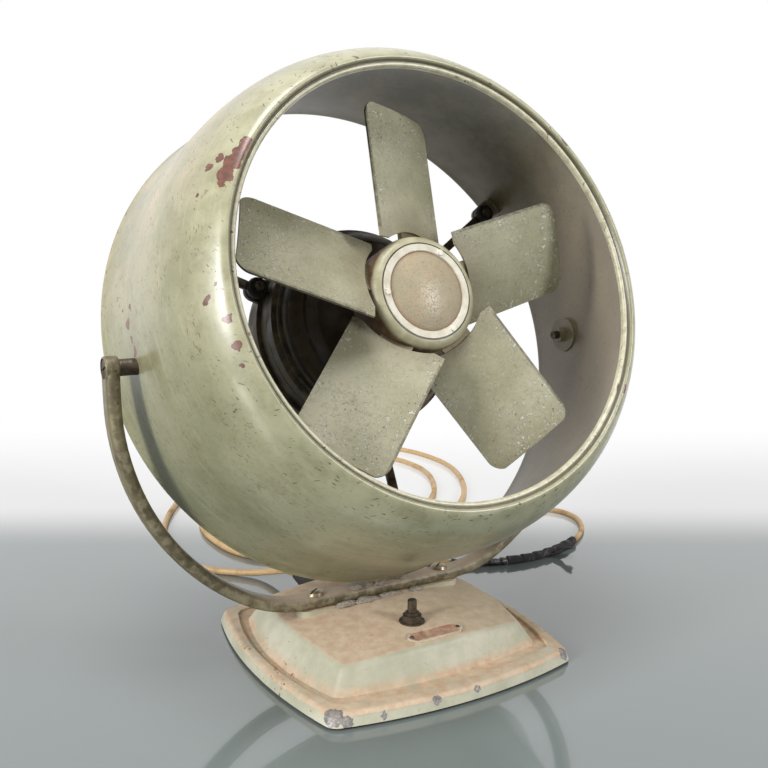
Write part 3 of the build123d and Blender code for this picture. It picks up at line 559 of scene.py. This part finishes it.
broad = spot.clouds(0.085, 5, 0.6)
sage = broad.fade(0.34, 0.66).blend(seen(136, 134, 100), seen(166, 162, 130))
sage = (spot.clouds(0.024, 6, 0.65).fade(0.48, 0.72) * 0.40).blend(sage, seen(120, 116, 84))
sage = (spot.clouds(0.0024, 4, 0.7).fade(0.45, 0.75) * 0.30).blend(sage, seen(102, 98, 68))
brushed = wrapped.stretched(0.16, 1, 1).clouds(0.0045, 5, 0.62).fade(0.52, 0.70)
sage = (brushed * 0.30).blend(sage, seen(190, 186, 150))
to_left = spot.axis(0).fade(-0.03, -0.15) * spot.axis(1).fade(-0.02, 0.10)
powder = to_left * ahead.fade(0.095, 0.060) * spot.clouds(0.040, 6, 0.62).fade(0.34, 0.62)
sage = (powder * 0.50).blend(sage, seen(206, 184, 160))
# Painted highlight, partly wear: the outward front shoulder is painted paler cream, broken up by noise.
shoulder = ahead.fade(0.078, 0.098) * outward.fade(-0.3, 0.1)
sage = (shoulder * (0.12 + 0.38 * spot.clouds(0.013, 5).fade(0.35, 0.65))).blend(sage, seen(196, 193, 160))
lip_edge = (1 - radius.fade(0.1388, 0.1402)) * ahead.fade(0.0940, 0.0965)
sage = (lip_edge * (0.35 + 0.5 * spot.clouds(0.006, 5).fade(0.35, 0.6))).blend(sage, seen(214, 207, 178))
# Painted shade: a dark line painted into the crease where the lip's bead folds.
crease = (1 - abs(radius - 0.1402).fade(0.0004, 0.0011)) * ahead.fade(0.0985, 0.1000)
sage = (crease * 0.8).blend(sage, seen(70, 62, 46))

# Painted shade: the drum's inside is painted darker than its outside. The pinkish patch towards the right is real
# dust, and the dark specks are dirt.
shaded_inside = spot.clouds(0.030, 6, 0.65).fade(0.35, 0.68).blend(seen(92, 88, 64), seen(122, 114, 88))
right_inside = spot.axis(0).fade(0.03, 0.15) * (1 - spot.axis(1).fade(0.04, 0.13))
shaded_inside = (right_inside * 0.6).blend(shaded_inside, seen(158, 142, 120))
shaded_inside = (spot.clouds(0.0028, 4, 0.7).fade(0.56, 0.72) * 0.5).blend(shaded_inside, seen(90, 78, 58))
coat = inside.blend(sage, shaded_inside)

lengthwise = wrapped.node("CombineXYZ", {}, {0: ahead, 1: around}).ragged(0.010, 0.0035)
dashes = lengthwise.flecks(0.0090, 0.0019, 0.34, 0.20, "2D") * spot.clouds(0.022, 4, 0.6).fade(0.50, 0.60)
aslant = wrapped.node("CombineXYZ", {}, {0: ahead + around * (0.115 / SKIN_RADIUS), 1: around - ahead * 0.7})
crossed = aslant.ragged(0.008, 0.004).flecks(0.0060, 0.0016, 0.34, 0.20, "2D")
crossed = crossed * spot.clouds(0.017, 4, 0.6).fade(0.52, 0.60)
long_marks = aslant.ragged(0.030, 0.010).flecks(0.0260, 0.0034, 0.22, 0.13, "2D")
long_marks = long_marks * spot.clouds(0.0030, 3).fade(0.44, 0.54)
marks = (dashes | crossed | long_marks) * (1 - 0.6 * inside)
coat = (marks * 0.70).blend(coat, seen(70, 63, 42))
specks = torn.flecks(0.0045, 0.0045, 0.18, 0.18) * (0.10 + 0.90 * ahead.fade(0.05, 0.095))
coat = (specks * 0.8).blend(coat, seen(58, 50, 36))

chips = torn.flecks(0.0080, 0.0080, 0.16, 0.24) * (ahead.fade(0.088, 0.098) * (1 - ahead.fade(0.1040, 0.1060)))
chips = chips * spot.clouds(0.040, 2).fade(0.42, 0.52)
for angle, far, away, size in (
        (146.0, 0.1022, 0.1435, 0.0042), (148.5, 0.1018, 0.1445, 0.0050), (151.5, 0.1005, 0.1462, 0.0062),
        (154.5, 0.0995, 0.1475, 0.0058), (156.5, 0.0985, 0.1486, 0.0030), (150.5, 0.0940, 0.1528, 0.0030),
        (152.5, 0.0900, 0.1560, 0.0022), (159.0, 0.0863, 0.1578, 0.0018), (170.5, -0.0177, 0.1733, 0.0018),
        (174.0, -0.0080, 0.1722, 0.0016), (177.5, -0.0010, 0.1716, 0.0028), (181.0, 0.0020, 0.1714, 0.0022),
        (184.0, 0.0045, 0.1712, 0.0032), (174.5, 0.0060, 0.1710, 0.0024), (182.0, 0.0933, 0.1536, 0.0026),
        (187.0, 0.1007, 0.1469, 0.0026), (193.0, 0.1007, 0.1469, 0.0030), (197.0, 0.0990, 0.1480, 0.0022),
        (325.5, 0.1030, 0.1409, 0.0036), (326.0, 0.0950, 0.1521, 0.0048), (330.0, 0.0985, 0.1486, 0.0030),
        (39.0, 0.1020, 0.1440, 0.0040), (44.0, 0.1035, 0.1410, 0.0026), (62.5, 0.1040, 0.1365, 0.0022)):
    chips = chips | torn.near(on_skin(angle, far, away), size)
chips = chips * outward.fade(-0.6, -0.2)
primer = spot.clouds(0.0030, 4).fade(0.35, 0.7).blend(seen(118, 70, 52), seen(84, 50, 38))
coat = chips.blend(coat, primer)
drum_paint.show({"Base Color": coat, "Coat Weight": 0.6, "Coat Roughness": 0.24,
                 "Roughness": 0.26 + 0.16 * spot.clouds(0.012, 5) + 0.25 * powder + 0.3 * inside},
                spot.clouds(0.0070, 3) * 0.5 + spot.clouds(0.0012, 3) * 0.12 - chips * 1.3 - marks * 0.5, 0.00018)

# The skin is one line of points turned about the air stream: a thin beaded lip that the metal is rolled
# into at the mouth, the barrel's outside, a wire rolled into the rear edge, and the inside back again.
skin = bmesh.new()
outline = [
    (0.1374, 0.0972), (0.1367, 0.0990), (0.1367, 0.1005), (0.1373, 0.1018), (0.1386, 0.1023), (0.1396, 0.1016),
    (0.1401, 0.1010), (0.1404, 0.1018), (0.1412, 0.1036), (0.1425, 0.1043), (0.1444, 0.1035), (0.1466, 0.1018),
    (0.1496, 0.0985), (0.1530, 0.0941), (0.1564, 0.0890), (0.1595, 0.0820), (0.1622, 0.0748), (0.1642, 0.0680),
    (0.1670, 0.0550), (0.1693, 0.0400), (0.1705, 0.0210), (0.1714, 0.0017), (0.1735, -0.0200), (0.1766, -0.0395),
    (0.1783, -0.0410), (0.1787, -0.0432), (0.1774, -0.0449), (0.1756, -0.0444), (0.1749, -0.0425),
    (0.1752, -0.0395), (0.1719, -0.0200), (0.1698, 0.0017), (0.1689, 0.0210), (0.1677, 0.0400), (0.1654, 0.0550),
    (0.1626, 0.0676), (0.1577, 0.0810), (0.1548, 0.0878), (0.1516, 0.0930), (0.1485, 0.0970), (0.1455, 0.1000),
    (0.1430, 0.1018), (0.1412, 0.1010), (0.1400, 0.0985),
]
rail = [skin.verts.new((away, 0, along)) for away, along in outline]
edges = [skin.edges.new(pair) for pair in zip(rail, rail[1:] + rail[:1])]
bmesh.ops.spin(skin, geom=rail + edges, axis=(0, 0, 1), cent=(0, 0, 0), angle=math.tau, steps=144, use_merge=True)
HEAD_FRAME = Matrix.Translation(HEAD_CENTRE) @ Matrix.Rotation(HEAD_TURN[0], 4, "X")
bmesh.ops.transform(skin, matrix=HEAD_FRAME, verts=skin.verts)
drum_skin = finished(skin, "drum_skin", "head")
rounder = drum_skin.modifiers.new("rounder", "SUBSURF")
rounder.levels = rounder.render_levels = 1
drum_paint.coat(drum_skin, nodes["pivot_saddles"], nodes["pivot_nuts"], nodes["strut_brackets"])
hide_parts("drum")


# Motor: two pressed shells in dark brown enamel, with turned grooves round the front one and grey dust
# on its shoulder. The core, windings and bushes show through the gaps.
motor_brown = Finish("motor_brown")
spot = head_place(motor_brown)
ring = spot.off_axis()
ahead = spot.axis(2)
dusty = spot.clouds(0.014, 6, 0.6).fade(0.40, 0.68)
enamel = spot.clouds(0.030, 5).fade(0.35, 0.7).blend(seen(50, 42, 32), seen(78, 66, 52))
rim = ring.fade(0.0600, 0.0700)
enamel = ((0.18 + 0.5 * rim) * dusty).blend(enamel, seen(136, 126, 106))
# Painted shade: near-black lines painted in the grooves, two rings on the front and one round the side; the bump
# sinks them as well.
groove = (abs(ring - 0.0560) < 0.0009) | (abs(ring - 0.0650) < 0.0006) | (abs(ahead + 0.0215) < 0.0010)
enamel = (groove * 0.85).blend(enamel, seen(16, 13, 10))
turned_marks = spot.node("TexNoise", {"noise_dimensions": "1D"}, {"W": ring * 900, "Scale": 1.0, "Detail": 2.0})
motor_brown.show({"Base Color": enamel, "Roughness": 0.46 + 0.3 * dusty},
                 spot.clouds(0.0015, 4) * 0.4 + turned_marks * 0.4 - groove * 2.0, 0.00020)
motor_brown.coat(nodes["motor_front_shell"], nodes["motor_rear_shell"])

core_steel = Finish("core_steel")
spot = head_place(core_steel)
sheets = spot.stretched(0.05, 0.05, 1).clouds(0.0008, 1)
core_steel.show({"Base Color": sheets.fade(0.4, 0.6).blend(seen(74, 72, 70), seen(128, 124, 118)), "Metallic": 0.8,
                 "Roughness": 0.48}, sheets, 0.0002)
core_steel.coat(nodes["stator_core"], nodes["rotor"])
winding = Finish("winding_copper")
spot = head_place(winding)
ring = spot.off_axis()
wires = spot.maths("SINE", ring * 5200) * 0.5 + 0.5
winding.show({"Base Color": wires.blend(seen(96, 44, 22), seen(176, 100, 54)), "Metallic": 0.5, "Roughness": 0.35},
             wires + spot.clouds(0.002, 3), 0.0003)
winding.coat(nodes["stator_winding"])
bronze = Finish("bronze")
oil = bronze.place.clouds(0.004, 4).fade(0.4, 0.7)
bronze.show({"Base Color": oil.blend(seen(170, 128, 74), seen(104, 74, 42)), "Metallic": 0.9,
             "Roughness": 0.3 + 0.2 * oil}, bronze.place.clouds(0.0008, 2), 0.00004)
bronze.coat(nodes["front_bush"], nodes["rear_bush"])


# Blades: five sheet blades, pale green and pitted white where the paint has lifted near their tips,
# with thin dark edges. They read the same frame as the drum, turned to each blade in turn.
BLADES, FIRST_BLADE = 5, math.radians(14.4)
HALF_BLADE_STEP = math.pi / BLADES
blade_paint = Finish("blade_paint")
spot = head_place(blade_paint)
reach = spot.off_axis()
round_angle = spot.maths("ARCTAN2", spot.axis(1), spot.axis(0))
off_middle = spot.node("Math", {"operation": "WRAP"},
                       {0: round_angle - FIRST_BLADE, 1: HALF_BLADE_STEP, 2: -HALF_BLADE_STEP})
sideways = reach * spot.maths("SINE", off_middle)
along = reach * spot.maths("COSINE", off_middle)
to_tip = along.fade(0.070, 0.122)
to_edge = abs(sideways).fade(0.016, 0.0285) | to_tip
tone = spot.clouds(0.040, 6, 0.6)
pale = tone.fade(0.36, 0.66).blend(seen(158, 154, 126), seen(182, 177, 150))
pale = (spot.clouds(0.0050, 5, 0.7).fade(0.45, 0.72) * 0.45).blend(pale, seen(126, 122, 94))
pale = (spot.clouds(0.0013, 3, 0.7).fade(0.48, 0.70) * 0.32).blend(pale, seen(198, 194, 172))
pitted = spot.ragged(0.003, 0.004).clouds(0.0024, 4, 0.7).fade(0.565, 0.595) * (0.16 + 0.84 * to_edge)
pitted = pitted * spot.clouds(0.022, 4).fade(0.34, 0.52)
pale = (pitted * 0.9).blend(pale, seen(226, 224, 212))
holes = spot.ragged(0.004, 0.004).flecks(0.0032, 0.0032, 0.20, 0.20) * (0.35 + 0.65 * to_edge)
pale = (holes * 0.75).blend(pale, seen(92, 84, 66))
# The blades are painted darker in a thin band along their edges and tips.
dark_edge = abs(sideways).fade(0.0280, 0.0293) | along.fade(0.1243, 0.1256)
dark_edge = dark_edge * (0.55 + 0.45 * spot.clouds(0.004, 4).fade(0.35, 0.6))
pale = (dark_edge * 0.8).blend(pale, seen(96, 88, 70))
# Painted shade: the blades are painted darker towards their roots by the hub, broken up by noise.
root_shade = (1 - reach.fade(0.040, 0.064)) * (0.4 + 0.6 * spot.clouds(0.012, 5))
pale = (root_shade * 0.55).blend(pale, seen(112, 98, 76))
blade_paint.show({"Base Color": pale, "Roughness": 0.42 + 0.3 * pitted + 0.12 * tone},
                 pitted * 1.6 - holes * 1.2 + spot.clouds(0.0030, 4) * 0.8, 0.00028)
blade_paint.coat(*[nodes[f"blade_{number}"] for number in range(1, BLADES + 1)])


# Hub: a spun cup whose side has rusted brown while its rounded front keeps its paint, a cream ring held
# by three small screws, and a plain domed cap in the middle.
hub_paint = Finish("hub_rust")
spot = head_place(hub_paint)
ring = spot.off_axis()
ahead = spot.axis(2) + 0.0024 * (spot.clouds(0.010, 4) - 0.5)
front = ahead.fade(0.0675, 0.0708)
brown = spot.clouds(0.010, 6, 0.65).fade(0.35, 0.68).blend(seen(84, 62, 44), seen(122, 98, 74))
brown = spot.clouds(0.0016, 4, 0.7).fade(0.54, 0.66).blend(brown, seen(60, 40, 28))
kept = spot.clouds(0.012, 5).fade(0.35, 0.68).blend(seen(166, 160, 128), seen(194, 188, 158))
kept = (spot.clouds(0.0018, 4, 0.7).fade(0.58, 0.70) * 0.45).blend(kept, seen(150, 118, 84))
coat = front.blend(brown, kept)
# Painted shade: a dark ring painted on the cup where the gap between it and the cream ring lies.
gap_shade = (1 - abs(ring - 0.0316).fade(0.0004, 0.0008)) * ahead.fade(0.0690, 0.0705)
coat = gap_shade.blend(coat, seen(34, 30, 24))
hub_paint.show({"Base Color": coat, "Roughness": 0.62 - 0.28 * front},
               spot.clouds(0.0016, 4) * (1.2 - 0.9 * front), 0.00022)
hub_paint.coat(nodes["hub_cup"])

ring_paint = Finish("ring_cream")
spot = head_place(ring_paint)
ring = spot.off_axis()
cream = spot.clouds(0.010, 5).fade(0.35, 0.68).blend(seen(214, 208, 190), seen(192, 184, 160))
stain = (1 - ring.fade(0.0258, 0.0272)) * spot.clouds(0.008, 5).fade(0.28, 0.6)
cream = (stain * 0.65).blend(cream, seen(160, 118, 88))
spots = spot.clouds(0.0014, 4, 0.7).fade(0.62, 0.72)
ring_paint.show({"Base Color": (spots * 0.5).blend(cream, seen(150, 112, 80)), "Roughness": 0.38 + 0.2 * stain},
                spot.clouds(0.0020, 4), 0.00008)
ring_paint.coat(nodes["hub_ring"])
dome_paint = Finish("dome_tan")
spot = head_place(dome_paint)
ring = spot.off_axis()
beige = spot.clouds(0.014, 6, 0.6).fade(0.35, 0.66).blend(seen(164, 154, 128), seen(178, 162, 134))
foxed = spot.clouds(0.0100, 5, 0.6).fade(0.50, 0.72)
beige = (foxed * 0.30).blend(beige, seen(178, 132, 96))
fine = spot.clouds(0.0011, 3, 0.75).fade(0.50, 0.66)
beige = (fine * 0.42).blend(beige, seen(116, 98, 78))
rim = ring.fade(0.0235, 0.0262)
beige = (rim * 0.55).blend(beige, seen(132, 96, 70))
dome_paint.show({"Base Color": beige, "Roughness": 0.30 + 0.15 * fine}, fine + spot.clouds(0.006, 3), 0.00006)
dome_paint.coat(nodes["hub_dome"])
screw_paint = Finish("screw_cream")
chipped = screw_paint.place.clouds(0.0015, 4).fade(0.56, 0.70)
screw_paint.show({"Base Color": chipped.blend(seen(234, 228, 212), seen(164, 140, 112)), "Roughness": 0.4},
                 screw_paint.place.clouds(0.001, 3), 0.00006)
screw_paint.coat(nodes["hub_screws"])


# Fluff: grey felted dust that has caught on the yoke's foot and against the base behind it.
fluff = Finish("fluff")
tuft = fluff.place.clouds(0.0012, 4, 0.75)
fluff.show({"Base Color": tuft.fade(0.35, 0.65).blend(seen(150, 140, 128), seen(206, 196, 182)), "Roughness": 1.0},
           tuft, 0.0012)
lumps = bmesh.new()
for x, y, z, long, wide, tall in (
        (-0.022, 0.0075, 0.0430, 0.0060, 0.0042, 0.0022), (-0.012, 0.0110, 0.0435, 0.0075, 0.0050, 0.0030),
        (-0.002, 0.0080, 0.0432, 0.0058, 0.0046, 0.0026), (0.008, 0.0130, 0.0430, 0.0062, 0.0040, 0.0020),
        (0.017, 0.0090, 0.0429, 0.0050, 0.0038, 0.0018), (-0.032, 0.0022, 0.0340, 0.0080, 0.0030, 0.0022),
        (-0.016, 0.0015, 0.0342, 0.0100, 0.0032, 0.0024), (0.004, 0.0018, 0.0342, 0.0085, 0.0028, 0.0020),
        (0.026, 0.0020, 0.0338, 0.0060, 0.0026, 0.0018)):
    made = bmesh.ops.create_icosphere(lumps, subdivisions=3, radius=1.0)["verts"]
    for corner in made:
        push = 1 + 0.45 * noise.noise(corner.co * 1.9 + Vector((x, y, z)) * 400)
        corner.co = Vector((corner.co.x * long, corner.co.y * wide, corner.co.z * tall)) * push + Vector((x, y, z))
fluff.coat(finished(lumps, "fluff", "base"))


bpy.context.view_layer.update()
